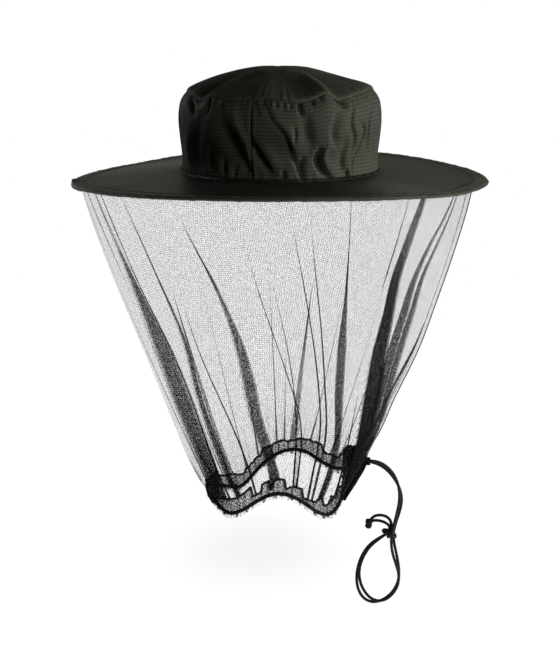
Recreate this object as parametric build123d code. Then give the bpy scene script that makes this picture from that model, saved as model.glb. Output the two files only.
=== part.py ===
"""Field hat with a net veil for beekeeping, in millimetres, +Z up, front towards -Y.

The origin is the centre of the head opening, in the plane where the crown meets the brim.
The crown and its wide, spring-wired brim are cloth. A net veil hangs from under the brim and is
gathered at the neck on a drawcord, which runs in a channel along the hem. Both ends of that cord
leave together at the wearer's left, through a short sleeve, and are tied in a loop.
"""
from build123d import *
import math
import os

# Cloth and head
CLOTH_T = 1.2            # thickness of one cloth panel
HEAD_R = 92.0            # inside of the sweatband, for a head 58 cm round
SWEATBAND_T = 1.0
SWEATBAND_TOP = 33.0

# Crown
CROWN_BASE_R = 95.0      # outside, where the crown meets the brim
CROWN_TOP_R = 88.6       # outside, at the seam round the top
CROWN_TOP_Z = 77.0
DOME_TOP_Z = 98.0
SEAM_ANGLE = -106.0      # the front seam stands 16 degrees to one side of the front
PIPING_R = 1.55
TAPE_W = 7.0             # tape inside the seam round the top
TAPE_T = 1.0

# Brim
BRIM_R = 202.5           # outside of the rolled edge
BRIM_DROOP = 6.5         # fall of the brim from the crown to its edge
EDGE_W = 16.5            # width of the rolled edge channel
EDGE_HALF_T = 3.0
PANEL_IN_EDGE = 6.0      # how far the brim panels reach into the edge channel
WIRE_R = 1.0
WIRE_BORE_R = 1.3
WIRE_RING_R = 197.5
FERRULE_R = 1.7
FERRULE_LEN = 12.0
SMALL_GAP = 0.05

# Veil
NET_T = 1.0
NET_TOP_R = 193.5
NET_SPLIT_R = 146.0      # the net below this level gathers when the hem is lifted
NET_SPLIT_Z = -140.0
NET_TAPE_W = 5.0
NET_TAPE_T = 0.9
SKIRT_STEPS = 60         # facets round the lower net
SPLIT_GAP = 0.3
NET_CLEAR = 0.9          # room between the lower net and the hem channel
EXIT_SHARE = 0.075       # share of the hem, at each end, where the net arches over the cord exit

# Hem channel, with the neck cord inside it
CORD_R = 1.5
CHANNEL_R = 3.2
CHANNEL_BORE_R = 1.8
HEM_ROUTE = [
    (73.0, -8.8, -294.5), (65.0, -8.8, -294.5), (64.5, -22.5, -312.5), (58.0, -34.0, -329.0),
    (48.5, -44.5, -335.5), (37.0, -53.0, -330.0), (26.0, -60.0, -319.5), (14.0, -64.5, -310.5),
    (1.5, -66.5, -306.0), (-11.0, -66.0, -308.5), (-23.5, -63.5, -316.5), (-35.0, -59.0, -327.0),
    (-47.0, -51.0, -333.0), (-58.5, -38.5, -329.5), (-68.0, -21.0, -324.0), (-73.5, -2.0, -321.5),
    (-69.5, 17.5, -326.5), (-60.5, 34.5, -332.0), (-48.5, 47.5, -336.5), (-34.5, 57.0, -336.0),
    (-20.5, 64.0, -326.5), (-7.5, 67.5, -314.0), (6.5, 69.0, -304.5), (21.0, 68.5, -301.5),
    (35.5, 64.5, -306.0), (48.5, 56.0, -313.5), (60.0, 43.0, -315.0), (67.0, 27.0, -308.0),
    (65.0, 8.8, -294.5), (73.0, 8.8, -294.5),
]

# Cord exit
EXIT_Z = -292.0
SLEEVE_X = (70.0, 90.0)
SLEEVE_R = 5.0
SLEEVE_BORE_R = 3.8
COLLAR_X = (73.0, 83.0)
COLLAR_R = 12.5
COLLAR_BORE_R = 5.3
COLLAR_CLEAR = 0.7       # room between the collar and the net that arches over it

# Free drawcord: two strands side by side, through the loop knot twice, into the end knot
STRAND_A = [
    (71, -1.6, -292), (86, -1.6, -291.2), (98, -1.6, -291.6), (108.5, -1.7, -298),
    (116, -1.9, -308), (119.8, -2.3, -320), (120.2, -3, -333), (117.5, -3.8, -346),
    (114.6, -4.5, -358), (112, -4.8, -370), (112.6, -4.6, -383), (116.3, -3.8, -396),
    (120.4, -2.8, -408), (120.3, -1.7, -420.5), (115, -0.6, -431.5), (105.5, 0.3, -439.5),
    (94, 0.9, -438.5), (85.5, 1.2, -429.5), (80.8, 1.5, -418), (80.2, 1.6, -405.5),
    (84, 1.6, -393), (91, 1.6, -381.5), (100.5, 1.6, -373.5), (109.5, 1.4, -367),
    (113.3, 1.1, -358.5), (109.5, 0.3, -350.5), (101, -0.7, -347.6), (93, -1.4, -349.3),
    (89.5, -1.6, -355.5),
]
STRAND_B = [
    (71, 1.6, -292), (86, 1.6, -292.2), (98, 1.6, -295), (107.5, 1.6, -301.2),
    (115.5, 1.5, -311), (121, 1.2, -321.5), (123, 0.6, -333), (120.6, -0.3, -344.5),
    (116.8, -1, -356), (114, -1.5, -368), (115.8, -1.6, -380), (118.7, -0.9, -392.5),
    (120.7, 0.3, -404.5), (120.8, 1.4, -417), (116, 2.5, -429), (107.2, 3.4, -438),
    (96.5, 4, -442.4), (86.3, 4.4, -439.3), (79.6, 4.7, -429.5), (77.6, 4.8, -417),
    (78.9, 4.8, -404.5), (83.1, 4.8, -392), (90.3, 4.8, -381), (100, 4.8, -374),
    (109, 4.8, -369), (111.8, 4.6, -361.5), (105.5, 3.6, -356.4), (98, 2.5, -354.4),
    (91.8, 1.8, -354.8), (89.7, 1.6, -359.5),
]
LOOP_KNOT_AT = (110.8, 0.0, -367.5)
LOOP_KNOT_R = 7.0
END_KNOT_AT = (89.6, 0.0, -357.3)
END_KNOT_R = 3.8
END_KNOT_HALF = 5.2
ARC_SHARE = 0.45         # share of the shorter run that each corner's arc may take


def brim_z(radius):
    """Height of the brim's middle surface."""
    return -BRIM_DROOP * (radius - CROWN_BASE_R) / (BRIM_R - CROWN_BASE_R)


def turned(outline):
    """Solid of revolution about Z from an outline of (radius, height) points."""
    return revolve(Plane.XZ * make_face(Polyline(outline, close=True)), Axis.Z)


def band(inner_r, outer_r, low, high):
    """Plain ring with a rectangular section."""
    return turned([(inner_r, low), (outer_r, low), (outer_r, high), (inner_r, high)])


def torus(ring_r, height, section_r, arc=360.0, start=0.0):
    """Round ring about Z, whole or with a gap."""
    section = Plane.XZ * Pos(ring_r, height) * Circle(section_r)
    return Rot(0, 0, start) * revolve(section, Axis.Z, arc)


def rod_along_x(start_x, end_x, y, z, radius):
    """Cylinder from one X to another."""
    middle = (start_x + end_x) / 2
    return Pos(middle, y, z) * Rot(0, 90, 0) * Cylinder(radius, end_x - start_x)


def arc_radii(route):
    """Radius of each corner's arc, as large as its two runs allow."""
    points = [Vector(*point) for point in route]
    radii = []
    for before, corner, after in zip(points, points[1:], points[2:]):
        run_in = corner - before
        run_out = after - corner
        half_turn = math.radians(run_in.get_angle(run_out)) / 2
        radii.append(ARC_SHARE * min(run_in.length, run_out.length) / math.tan(half_turn))
    return radii


def rounded_path(route):
    """Straight runs joined by tangent arcs."""
    return FilletPolyline(*route, radius=arc_radii(route))


def tube(path, radius):
    """Round solid along a path."""
    return sweep(Plane(path @ 0, z_dir=path % 0) * Circle(radius), path=path)


def crown_half(start_angle):
    """One of the two cloth panels round the crown, from seam to seam."""
    outside = Spline((CROWN_BASE_R, -CLOTH_T), (CROWN_BASE_R + 0.5, 20), (CROWN_BASE_R + 3.2, 50),
                     (CROWN_BASE_R + 0.3, 68), (CROWN_TOP_R, CROWN_TOP_Z))
    inside = Spline((CROWN_TOP_R - CLOTH_T, CROWN_TOP_Z), (CROWN_BASE_R + 0.3 - CLOTH_T, 67),
                    (CROWN_BASE_R + 3.2 - CLOTH_T, 50), (CROWN_BASE_R + 0.5 - CLOTH_T, 20),
                    (CROWN_BASE_R - CLOTH_T, -CLOTH_T))
    outline = outside + Line(outside @ 1, inside @ 0) + inside + Line(inside @ 1, outside @ 0)
    return Rot(0, 0, start_angle) * revolve(Plane.XZ * make_face(outline), Axis.Z, 180)


def dome(low, high, rim_r):
    """Solid spherical cap under an arc from the top of the crown out to its rim."""
    rise = high - low
    sphere_r = (rim_r ** 2 + rise ** 2) / (2 * rise)
    cap = Pos(0, 0, high - sphere_r) * Sphere(sphere_r)
    return cap & Pos(0, 0, low + rise) * Box(3 * rim_r, 3 * rim_r, 2 * rise)


def crown_tip():
    """Domed round panel that closes the crown, with a short rim on the side panels."""
    rim_z = CROWN_TOP_Z + CLOTH_T
    shell = dome(rim_z, DOME_TOP_Z, CROWN_TOP_R) + band(1, CROWN_TOP_R, CROWN_TOP_Z, rim_z)
    return shell - dome(CROWN_TOP_Z, DOME_TOP_Z - CLOTH_T, CROWN_TOP_R - CLOTH_T)


def crown_piping():
    """Thin cord round the foot of the crown, lying on the brim."""
    ring_r = CROWN_BASE_R + PIPING_R + 2 * SMALL_GAP
    return torus(ring_r, brim_z(ring_r) + CLOTH_T + PIPING_R + SMALL_GAP, PIPING_R)


def brim_panel(low, high):
    """One of the two cloth cones of the brim; low and high are heights off its middle surface."""
    inner = CROWN_BASE_R + SMALL_GAP
    outer = BRIM_R - EDGE_W + PANEL_IN_EDGE
    return turned([(inner, brim_z(inner) + low), (outer, brim_z(outer) + low),
                   (outer, brim_z(outer) + high), (inner, brim_z(inner) + high)])


def brim_edge():
    """Rolled edge channel: it takes the panels' edges and holds the spring wire."""
    nose_r = BRIM_R - EDGE_HALF_T
    foot_r = BRIM_R - EDGE_W + EDGE_HALF_T
    nose = ThreePointArc((nose_r, brim_z(nose_r) + EDGE_HALF_T), (BRIM_R, brim_z(nose_r)),
                         (nose_r, brim_z(nose_r) - EDGE_HALF_T))
    foot = ThreePointArc((foot_r, brim_z(foot_r) - EDGE_HALF_T), (BRIM_R - EDGE_W, brim_z(foot_r)),
                         (foot_r, brim_z(foot_r) + EDGE_HALF_T))
    outline = nose + Line(nose @ 1, foot @ 0) + foot + Line(foot @ 1, nose @ 0)
    edge = revolve(Plane.XZ * make_face(outline), Axis.Z)
    edge -= brim_panel(0, CLOTH_T) + brim_panel(-CLOTH_T, 0)
    edge -= torus(WIRE_RING_R, brim_z(WIRE_RING_R), WIRE_BORE_R)
    pocket_half = FERRULE_LEN / 2 + 0.5
    return edge - rod_along_x(-pocket_half, pocket_half, WIRE_RING_R, brim_z(WIRE_RING_R),
                              FERRULE_R + 0.2)


def wire_ferrule():
    """Crimp that joins the wire's ends at the back."""
    height = brim_z(WIRE_RING_R)
    half = FERRULE_LEN / 2
    shell = rod_along_x(-half, half, WIRE_RING_R, height, FERRULE_R)
    return shell - rod_along_x(-half - 1, half + 1, WIRE_RING_R, height, WIRE_R + 0.15)


def net_tape():
    """Tape under the brim's edge, to which the net is sewn."""
    inner = NET_TOP_R - NET_TAPE_W + 2
    outer = NET_TOP_R + 2
    top = -EDGE_HALF_T - SMALL_GAP
    low = top - NET_TAPE_T
    return turned([(inner, brim_z(inner) + low), (outer, brim_z(outer) + low),
                   (outer, brim_z(outer) + top), (inner, brim_z(inner) + top)])


def net_upper():
    """Upper net: a cone that keeps its shape."""
    top_z = brim_z(NET_TOP_R) - EDGE_HALF_T - NET_TAPE_T - 3 * SMALL_GAP
    return turned([(NET_TOP_R, top_z), (NET_SPLIT_R, NET_SPLIT_Z),
                   (NET_SPLIT_R - NET_T, NET_SPLIT_Z), (NET_TOP_R - NET_T, top_z)])


def faceted(loops):
    """Closed solid whose skin runs through closed loops of points, the last joined to the first."""
    faces = []
    count = len(loops[0])
    for loop, following in zip(loops, loops[1:] + loops[:1]):
        for i in range(count):
            k = (i + 1) % count
            faces.append(Face(Wire.make_polygon([loop[i], loop[k], following[k]])))
            faces.append(Face(Wire.make_polygon([loop[i], following[k], following[i]])))
    return Solid(Shell(faces))


def hem_edge(path):
    """Loop of points just above the hem channel, arched over the cord exit."""
    points = []
    for i in range(SKIRT_STEPS):
        share = EXIT_SHARE + (1 - 2 * EXIT_SHARE) * i / (SKIRT_STEPS - 1)
        along = path % share
        lift = (CHANNEL_R + NET_CLEAR) / math.hypot(along.X, along.Y)
        points.append(path @ share + Vector(0, 0, lift))
    arch_r = COLLAR_R + COLLAR_CLEAR
    arch_x = sum(COLLAR_X) / 2
    for degrees in range(0, 181, 30):
        angle = math.radians(degrees)
        points.append(Vector(arch_x, arch_r * math.cos(angle), EXIT_Z + arch_r * math.sin(angle)))
    return points


def net_lower(path):
    """Lower net: from the upper net's foot in to the hem."""
    outer_low = hem_edge(path)
    loops = []
    for inset in (0, NET_T):
        top = []
        low = []
        for point in outer_low:
            angle = math.atan2(point.Y, point.X)
            away = Vector(math.cos(angle), math.sin(angle), 0)
            rim = away * (NET_SPLIT_R - inset)
            top.append(Vector(rim.X, rim.Y, NET_SPLIT_Z - SPLIT_GAP))
            low.append(point - away * inset)
        loops.append((top, low))
    return faceted([loops[0][0], loops[0][1], loops[1][1], loops[1][0]])


def exit_part(span, outer_r, bore_r):
    """Sleeve or collar along X at the cord exit."""
    body = rod_along_x(span[0], span[1], 0, EXIT_Z, outer_r)
    return body - rod_along_x(span[0] - 1, span[1] + 1, 0, EXIT_Z, bore_r)


def loop_knot():
    """Overhand knot that ties both strands into the hanging loop."""
    return Pos(*LOOP_KNOT_AT) * Sphere(LOOP_KNOT_R)


def end_knot():
    """Small knot that holds the two cord ends together."""
    straight = 2 * (END_KNOT_HALF - END_KNOT_R)
    body = Cylinder(END_KNOT_R, straight)
    for side in (-1, 1):
        body += Pos(0, 0, side * straight / 2) * Sphere(END_KNOT_R)
    return Pos(*END_KNOT_AT) * body


def check_route(name, path, radius, solid, route):
    """Print a tube's length, its volume against section times length, and its corner radii."""
    ratio = solid.volume / (math.pi * radius ** 2 * path.length)
    radii = " ".join(f"{value:.0f}" for value in arc_radii(route))
    print(f"{name}: length {path.length:.1f} mm, volume ratio {ratio:.4f}, radii {radii}")


def main():
    hem_path = rounded_path(HEM_ROUTE)
    neck_cord = tube(hem_path, CORD_R)
    check_route("hem_drawcord", hem_path, CORD_R, neck_cord, HEM_ROUTE)
    parts = {
        "crown_tip": crown_tip(),
        "crown_side_right": crown_half(SEAM_ANGLE),
        "crown_side_left": crown_half(SEAM_ANGLE + 180),
        "crown_seam_tape": band(CROWN_TOP_R - 2 * CLOTH_T - TAPE_T, CROWN_TOP_R - 2 * CLOTH_T,
                                CROWN_TOP_Z - TAPE_W, CROWN_TOP_Z - SMALL_GAP),
        "crown_base_piping": crown_piping(),
        "sweatband": band(HEAD_R, HEAD_R + SWEATBAND_T, 0, SWEATBAND_TOP),
        "brim_top_panel": brim_panel(0, CLOTH_T),
        "brim_under_panel": brim_panel(-CLOTH_T, 0),
        "brim_edge_channel": brim_edge(),
        "brim_spring_wire": torus(WIRE_RING_R, brim_z(WIRE_RING_R), WIRE_R, 359.8, 90.1),
        "wire_ferrule": wire_ferrule(),
        "veil_top_tape": net_tape(),
        "veil_net_upper": net_upper(),
        "veil_net_lower": net_lower(hem_path),
        "hem_channel": tube(hem_path, CHANNEL_R) - tube(hem_path, CHANNEL_BORE_R),
        "hem_drawcord": neck_cord,
        "hem_exit_collar": exit_part(COLLAR_X, COLLAR_R, COLLAR_BORE_R),
        "cord_exit_sleeve": exit_part(SLEEVE_X, SLEEVE_R, SLEEVE_BORE_R),
        "drawcord_loop_knot": loop_knot(),
        "drawcord_end_knot": end_knot(),
    }
    for name, route in (("drawcord_strand_a", STRAND_A), ("drawcord_strand_b", STRAND_B)):
        path = rounded_path(route)
        parts[name] = tube(path, CORD_R)
        check_route(name, path, CORD_R, parts[name], route)
    os.makedirs("parts", exist_ok=True)
    for name, solid in parts.items():
        export_step(solid, f"parts/{name}.step")


main()
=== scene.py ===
"""A beekeeping veil: a soft olive hat with a wide wired brim, a black net that hangs from
under the brim to a gathered, corded hem, and a doubled drawcord that hangs at the right.

Every size is in metres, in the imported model's frame: +Z up, the face towards -Y, and the
origin where the crown meets the brim. Azimuth 0 is the wearer's left (+X), -90 is the front.
"""

import math
import random

import bpy
import numpy as np
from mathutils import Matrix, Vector


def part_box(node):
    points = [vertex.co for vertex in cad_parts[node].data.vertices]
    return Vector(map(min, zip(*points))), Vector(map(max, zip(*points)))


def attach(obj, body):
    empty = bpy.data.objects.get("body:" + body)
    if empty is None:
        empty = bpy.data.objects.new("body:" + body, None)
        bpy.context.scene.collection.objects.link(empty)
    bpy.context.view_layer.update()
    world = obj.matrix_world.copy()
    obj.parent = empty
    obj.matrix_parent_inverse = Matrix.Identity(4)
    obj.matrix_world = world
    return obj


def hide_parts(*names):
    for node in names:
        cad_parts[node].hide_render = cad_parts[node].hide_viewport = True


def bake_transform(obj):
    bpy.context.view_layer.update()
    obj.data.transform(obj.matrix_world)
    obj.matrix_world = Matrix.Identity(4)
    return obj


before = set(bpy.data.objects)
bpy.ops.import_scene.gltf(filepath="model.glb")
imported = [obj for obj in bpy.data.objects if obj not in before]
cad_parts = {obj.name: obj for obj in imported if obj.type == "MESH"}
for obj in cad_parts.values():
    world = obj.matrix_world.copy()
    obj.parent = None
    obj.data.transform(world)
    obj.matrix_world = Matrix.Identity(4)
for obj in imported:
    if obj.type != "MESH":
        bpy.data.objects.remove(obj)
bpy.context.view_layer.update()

MM = 0.001
TAU = 2 * math.pi

# ---------------------------------------------------------------- driving sizes
CROWN_R = 0.095  # outside of the crown where it meets the brim
SEAM_Z = 0.077  # top seam, where the side panels meet the tip
SEAM_R = 0.0886  # radius of the top seam
DOME_RISE = 0.0220  # the tip's height over its seam
BRIM_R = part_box("brim_edge_channel")[1].x
EDGE_IN_R = BRIM_R - 0.0165  # inner stitch line of the rolled edge
WIRE_RING_R = BRIM_R - 0.005
NET_TOP_R = 0.1935  # where the net is sewn under the brim
SEAM_AZIMUTH = -106.0  # front seam of the crown; the other is opposite

CLOTH_T = 0.0011  # thickness
STITCH = 0.0017  # length of one stitch on the brim
CHANNEL_H = 0.0110  # from the hem cord up to the thread line, where nothing lifts or drops it
EXIT_R = 0.0745  # the ends of the hem cord lie beyond this radius, in the exit
CORD_R = 0.0015
TAIL = 19  # millimetres of each strand inside the exit sleeve, so pulling it out leaves no gap
FLOOR_Z = -0.455
FLOOR_R = 1.4
CAMERA_AT = (0.0, -1.9, 0.225)
LOOK_AT = (0.0, 0.0, -0.164)
UP = np.array([0, 0, 1.0])

# the drawcord's route round the hem, in millimetres, from the exit, round the front and back
HEM_ROUTE = [
    (73, -8.8, -294.5), (65, -8.8, -294.5), (64.5, -22.5, -312.5), (58, -34, -329),
    (48.5, -44.5, -335.5), (37, -53, -330), (26, -60, -319.5), (14, -64.5, -310.5),
    (1.5, -66.5, -306), (-11, -66, -308), (-24, -63.5, -316), (-37, -58, -326.5),
    (-50, -48.5, -333), (-60.5, -36, -328), (-68.5, -20, -322), (-73.5, -2, -320),
    (-69.5, 17.5, -321.5), (-60, 34.5, -327.5), (-49.5, 47, -332), (-39.5, 55.5, -335),
    (-27.5, 62.5, -322.5), (-15, 66.5, -309.5), (-1.5, 69, -301.5), (13, 69.5, -297.5),
    (28, 66.5, -299.5), (43, 58.5, -309), (57, 45, -312.5), (67, 27, -307),
    (65, 8.8, -294.5), (73, 8.8, -294.5),
]
# the two free strands of the drawcord, from inside the exit sleeve to the end knot
STRAND_A = [
    (90, -1.6, -291.3), (98, -1.6, -291.6), (108.5, -1.7, -298), (116, -1.9, -308),
    (119.8, -2.3, -320), (120.2, -3, -333), (117.5, -3.8, -346), (114.6, -4.5, -358),
    (112, -4.8, -370), (112.6, -4.6, -383), (116.3, -3.8, -396), (120.4, -2.8, -408),
    (120.3, -1.7, -420.5), (115, -0.6, -431.5), (105.5, 0.3, -439.5), (94, 0.9, -438.5),
    (85.5, 1.2, -429.5), (80.8, 1.5, -418), (80.2, 1.6, -405.5), (84, 1.6, -393),
    (91, 1.6, -381.5), (100.5, 1.6, -373.5), (109.5, 1.4, -367), (113.3, 1.1, -358.5),
    (109.5, 0.3, -350.5), (101, -0.7, -347.6), (93, -1.4, -349.3), (89.5, -1.6, -355.5),
]
STRAND_B = [
    (90, 1.6, -293), (98, 1.6, -295), (107.5, 1.6, -301.2), (115.5, 1.5, -311),
    (121, 1.2, -321.5), (123, 0.6, -333), (120.6, -0.3, -344.5), (116.8, -1, -356),
    (114, -1.5, -368), (115.8, -1.6, -380), (118.7, -0.9, -392.5), (120.7, 0.3, -404.5),
    (120.8, 1.4, -417), (116, 2.5, -429), (107.2, 3.4, -438), (96.5, 4, -442.4),
    (86.3, 4.4, -439.3), (79.6, 4.7, -429.5), (77.6, 4.8, -417), (78.9, 4.8, -404.5),
    (83.1, 4.8, -392), (90.3, 4.8, -381), (100, 4.8, -374), (109, 4.8, -369),
    (111.8, 4.6, -361.5), (105.5, 3.6, -356.4), (98, 2.5, -354.4), (91.8, 1.8, -354.8),
    (89.7, 1.6, -359.5),
]


# ---------------------------------------------------------------- small tools
def curve(table, x):
    """A smooth curve through a (place, value) table, level beyond its ends."""
    place, value = np.array(table, float).T
    slope = np.gradient(value, place)
    x = np.clip(x, place[0], place[-1])
    i = np.clip(np.searchsorted(place, x) - 1, 0, len(place) - 2)
    h = place[i + 1] - place[i]
    t = (x - place[i]) / h
    start = (2 * t**3 - 3 * t**2 + 1) * value[i] + (t**3 - 2 * t**2 + t) * h * slope[i]
    end = (3 * t**2 - 2 * t**3) * value[i + 1] + (t**3 - t**2) * h * slope[i + 1]
    return start + end


def ease(low, high, x):
    """0 below low, 1 above high, smooth between."""
    t = np.clip((x - low) / (high - low), 0, 1)
    return t * t * (3 - 2 * t)


def half_turn(degrees):
    """The same angle between -180 and 180 degrees."""
    return (degrees + 180) % 360 - 180


def ripple(x, waves, seed):
    """Uneven waves round the object: a sum of sines with whole numbers of turns."""
    rng = np.random.default_rng(seed)
    total = np.zeros_like(x)
    for turns in waves:
        total = total + np.sin(turns * x + rng.uniform(0, TAU)) * rng.uniform(0.6, 1.0)
    return total / len(waves)


def polar(radius, azimuth, z):
    """Points from their radius, azimuth in radians and height."""
    return np.stack([radius * np.cos(azimuth), radius * np.sin(azimuth), z], -1)


def add(name, data):
    """A new object in the scene."""
    obj = bpy.data.objects.new(name, data)
    bpy.context.scene.collection.objects.link(obj)
    return obj


def add_mesh(name, points, faces):
    """A new mesh object from lists of points and faces."""
    mesh = bpy.data.meshes.new(name)
    mesh.from_pydata(points, [], faces)
    return add(name, mesh)


def grid_mesh(name, points, uv, wrap=False, fields=None):
    """A mesh of quads over a grid of points; wrap joins the last column to the first."""
    rows, cols = points.shape[:2]
    index = np.arange(rows * cols).reshape(rows, cols)
    right = np.roll(index, -1, axis=1) if wrap else index[:, 1:]
    left = index if wrap else index[:, :-1]
    quads = np.stack([left[:-1], right[:-1], right[1:], left[1:]], -1).reshape(-1, 4)
    obj = add_mesh(name, points.reshape(-1, 3).tolist(), quads.tolist())
    mesh = obj.data
    corner = [uv[:-1, :-1], uv[:-1, 1:], uv[1:, 1:], uv[1:, :-1]]
    flat = np.stack(corner, 2).reshape(-1, 2)
    mesh.uv_layers.new(name="UVMap").data.foreach_set("uv", flat.ravel())
    for field, values in (fields or {}).items():
        layer = mesh.attributes.new(field, "FLOAT", "POINT")
        layer.data.foreach_set("value", values.ravel().astype(np.float32))
    mesh.shade_smooth()
    return obj


def tube_points(line, radius, sides, closed=False):
    """Rings of points round a line, turned as little as possible from one to the next."""
    line = np.array(line, float)
    ahead = np.roll(line, -1, axis=0) - np.roll(line, 1, axis=0)
    if not closed:
        ahead[0], ahead[-1] = line[1] - line[0], line[-1] - line[-2]
    ahead /= np.linalg.norm(ahead, axis=1)[:, None]
    side = np.cross(ahead[0], (0.1, 0.2, 1.0))
    rings = []
    for i, point in enumerate(line):
        side = side - ahead[i] * (side @ ahead[i])
        side /= np.linalg.norm(side)
        other = np.cross(ahead[i], side)
        r = radius[i] if hasattr(radius, "__len__") else radius
        turn = np.arange(sides) * TAU / sides
        rings.append(point + r * (np.cos(turn)[:, None] * side + np.sin(turn)[:, None] * other))
    return np.array(rings)


def tube(name, line, radius, sides=10, closed=False):
    """A mesh tube along a line, with its UV in metres along and across."""
    rings = tube_points(line, radius, sides, closed)
    if closed:
        rings = np.concatenate([rings, rings[:1]])
    steps = np.linalg.norm(np.diff(rings.mean(1), axis=0), axis=1)
    along = np.concatenate([[0], np.cumsum(steps)])
    r = float(np.mean(radius))
    uv = np.zeros((len(rings), sides + 1, 2))
    uv[..., 0] = along[:, None]
    uv[..., 1] = np.arange(sides + 1) * TAU * r / sides
    return grid_mesh(name, rings, uv, wrap=True)


def many_tubes(name, tubes):
    """One mesh of many short open tubes, each given by its rings of points."""
    points, faces = [], []
    for rings in tubes:
        base = len(points)
        count, sides = rings.shape[:2]
        points += rings.reshape(-1, 3).tolist()
        for k in range(count - 1):
            for j in range(sides):
                a, b = base + k * sides + j, base + k * sides + (j + 1) % sides
                faces.append((a, b, b + sides, a + sides))
    return add_mesh(name, points, faces)


def joined(name, objects):
    """Several meshes as one piece."""
    bpy.ops.object.select_all(action="DESELECT")
    for obj in objects:
        obj.select_set(True)
    bpy.context.view_layer.objects.active = objects[0]
    bpy.ops.object.join()
    objects[0].name = name
    objects[0].data.name = name
    return objects[0]


def thicken(obj, thickness):
    """Gives a surface the cloth's thickness, on its inner side."""
    solid = obj.modifiers.new("cloth", "SOLIDIFY")
    solid.thickness = thickness
    solid.offset = -1.0


def place(obj, material, body, slot, replaces=()):
    """Gives a piece its material and its body, and hides the CAD nodes it stands for; the slot is not used.
    """
    obj.data.materials.clear()
    obj.data.materials.append(material)
    if body:
        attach(obj, body)
    if replaces:
        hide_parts(*replaces)
    return obj


# ---------------------------------------------------------------- materials
class Shader:
    """A material under construction: each method adds one node and returns its output."""

    def __init__(self, name, world=None):
        self.material = world or bpy.data.materials.new(name)
        self.material.use_nodes = True
        self.tree = self.material.node_tree
        self.tree.nodes.clear()

    def node(self, kind, inputs=None, **settings):
        """A new node; each input is either another node's output or a plain value."""
        made = self.tree.nodes.new("ShaderNode" + kind)
        for key, value in settings.items():
            setattr(made, key, value)
        for key, value in (inputs or {}).items():
            if isinstance(value, bpy.types.NodeSocket):
                self.tree.links.new(value, made.inputs[key])
            else:
                made.inputs[key].default_value = value
        return made

    def vector(self, operation, a, b):
        return self.node("VectorMath", {0: a, 1: b}, operation=operation).outputs[0]

    def uv(self, scale=None):
        source = self.node("UVMap", uv_map="UVMap").outputs["UV"]
        if scale is None:
            return source
        return self.vector("MULTIPLY", source, scale)

    def place(self):
        """The place on the object, in metres."""
        return self.node("TexCoord").outputs["Object"]

    def field(self, name):
        return self.node("Attribute", attribute_name=name).outputs["Fac"]

    def math(self, operation, a, b=0.0, clamp=False):
        return self.node("Math", {0: a, 1: b}, operation=operation, use_clamp=clamp).outputs[0]

    def split(self, vector):
        made = self.node("SeparateXYZ", {0: vector})
        return made.outputs[0], made.outputs[1]

    def wave(self, value, pitch):
        """The cosine of a length over a pitch: 1 on each line, -1 half way between."""
        return self.math("COSINE", self.math("MULTIPLY", value, TAU / pitch))

    def ramp(self, value, low, high, out_low=0.0, out_high=1.0):
        """A value eased from out_low, at low, to out_high, at high, and level beyond them."""
        limits = {0: value, 1: low, 2: high, 3: out_low, 4: out_high}
        return self.node("MapRange", limits, interpolation_type="SMOOTHSTEP").outputs[0]

    def noise(self, vector, scale, detail=3.0):
        inputs = {"Vector": vector, "Scale": scale, "Detail": detail, "Roughness": 0.55}
        return self.node("TexNoise", inputs).outputs[0]

    def mix(self, factor, a, b):
        return self.node("Mix", {0: factor, 6: a, 7: b}, data_type="RGBA").outputs[2]

    def bump(self, height, strength, distance):
        inputs = {"Height": height, "Strength": strength, "Distance": distance}
        return self.node("Bump", inputs).outputs[0]

    def finish(self, inputs):
        """Ends the material with a Principled shader."""
        shader = self.node("BsdfPrincipled", inputs)
        output = self.node("OutputMaterial")
        self.tree.links.new(shader.outputs[0], output.inputs[0])
        return self.material


def rgb(r, g, b):
    """A linear colour from the 0 to 255 values of a display."""
    linear = [((c / 255 + 0.055) / 1.055) ** 2.4 if c > 10 else c / 255 / 12.92 for c in (r, g, b)]
    return (*linear, 1.0)


def ripstop_cloth():
    """Thin olive cloth with a grid of heavier threads that sit lower, with painted shade darkening the grid
    lines.
    """
    s = Shader("ripstop_cloth")
    across, up = s.split(s.uv())
    rows = s.ramp(s.wave(up, 0.0034), 0.35, 0.98)
    columns = s.ramp(s.wave(across, 0.0023), 0.45, 0.98)
    grid = s.math("MAXIMUM", rows, s.math("MULTIPLY", columns, 0.6))
    patches = s.ramp(s.noise(s.place(), 34.0), 0.35, 0.7)
    cloth = s.mix(patches, rgb(53, 56, 46), rgb(60, 63, 52))
    # painted shade: the grid lines are painted darker, as the shade of the sunken threads
    colour = s.mix(s.math("MULTIPLY", grid, 0.62), cloth, rgb(27, 29, 23))
    fine = s.noise(s.uv(), 2600.0, 2.0)
    relief = s.math("SUBTRACT", s.math("MULTIPLY", fine, 0.5), grid)
    return s.finish({
        "Base Color": colour,
        "Roughness": s.ramp(patches, 0, 1, 0.62, 0.74),
        "Specular IOR Level": 0.08,
        "Normal": s.bump(relief, 0.5, 0.00025),
    })


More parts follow.
